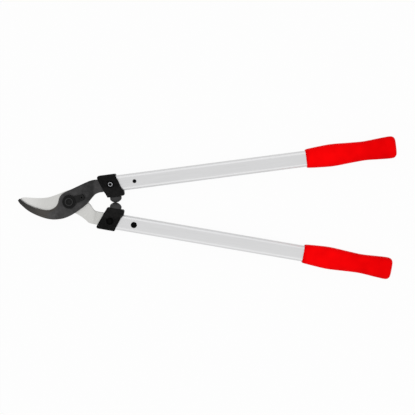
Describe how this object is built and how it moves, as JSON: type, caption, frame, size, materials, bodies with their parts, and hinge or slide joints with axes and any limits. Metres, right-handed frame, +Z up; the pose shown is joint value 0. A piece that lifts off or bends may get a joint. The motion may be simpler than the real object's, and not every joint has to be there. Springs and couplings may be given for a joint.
{
  "type": "bypass lopper",
  "caption": "Two-handed bypass lopper: a curved blade slides past a hooked counter-blade on a pivot bolt, with oval tube handles, collars, rubber bumpers and sleeve grips.",
  "frame": {"origin": "middle of the pivot bolt head's back face, on the plane that the lopper lies on", "axes": "+X along the middle line between the closed handles, from the jaws to the grips; +Y towards the hook's handle; +Z up, along the pivot axis, out of the front with the adjusting nut"},
  "size_m": [0.5999, 0.2286, 0.0228],
  "materials": {
    "hook_coating": "satin",
    "blade_steel": "satin",
    "black_steel": "satin",
    "zinc_steel": "satin",
    "tube_aluminium": "satin",
    "insert_plastic": "matte",
    "collar_plastic": "satin",
    "bumper_rubber": "matte",
    "grip_red": "satin"
  },
  "bodies": {
    "hook_half": {"hook_blade": "hook_coating", "pivot_bolt": "black_steel", "pivot_washer": "zinc_steel", "pivot_nut": "black_steel", "lock_segment": "black_steel", "segment_screw": "black_steel", "upper_tube": "tube_aluminium", "upper_tang_insert": "insert_plastic", "upper_collar": "collar_plastic", "upper_bumper": "bumper_rubber", "upper_grip": "grip_red", "upper_collar_bolt": "zinc_steel", "upper_collar_nut": "black_steel", "upper_tube_screw": "black_steel"},
    "blade_half": {"cutting_blade": "blade_steel", "lower_tube": "tube_aluminium", "lower_tang_insert": "insert_plastic", "lower_collar": "collar_plastic", "lower_bumper": "bumper_rubber", "lower_grip": "grip_red", "lower_collar_bolt": "zinc_steel", "lower_collar_nut": "black_steel", "lower_tube_screw": "black_steel"}
  },
  "joints": [
    {"name": "jaw_pivot", "type": "hinge", "parent": "hook_half", "child": "blade_half", "pos_m": [0, 0, 0.0101], "axis": [0, 0, -1], "range_deg": [0, 75]}
  ]
}
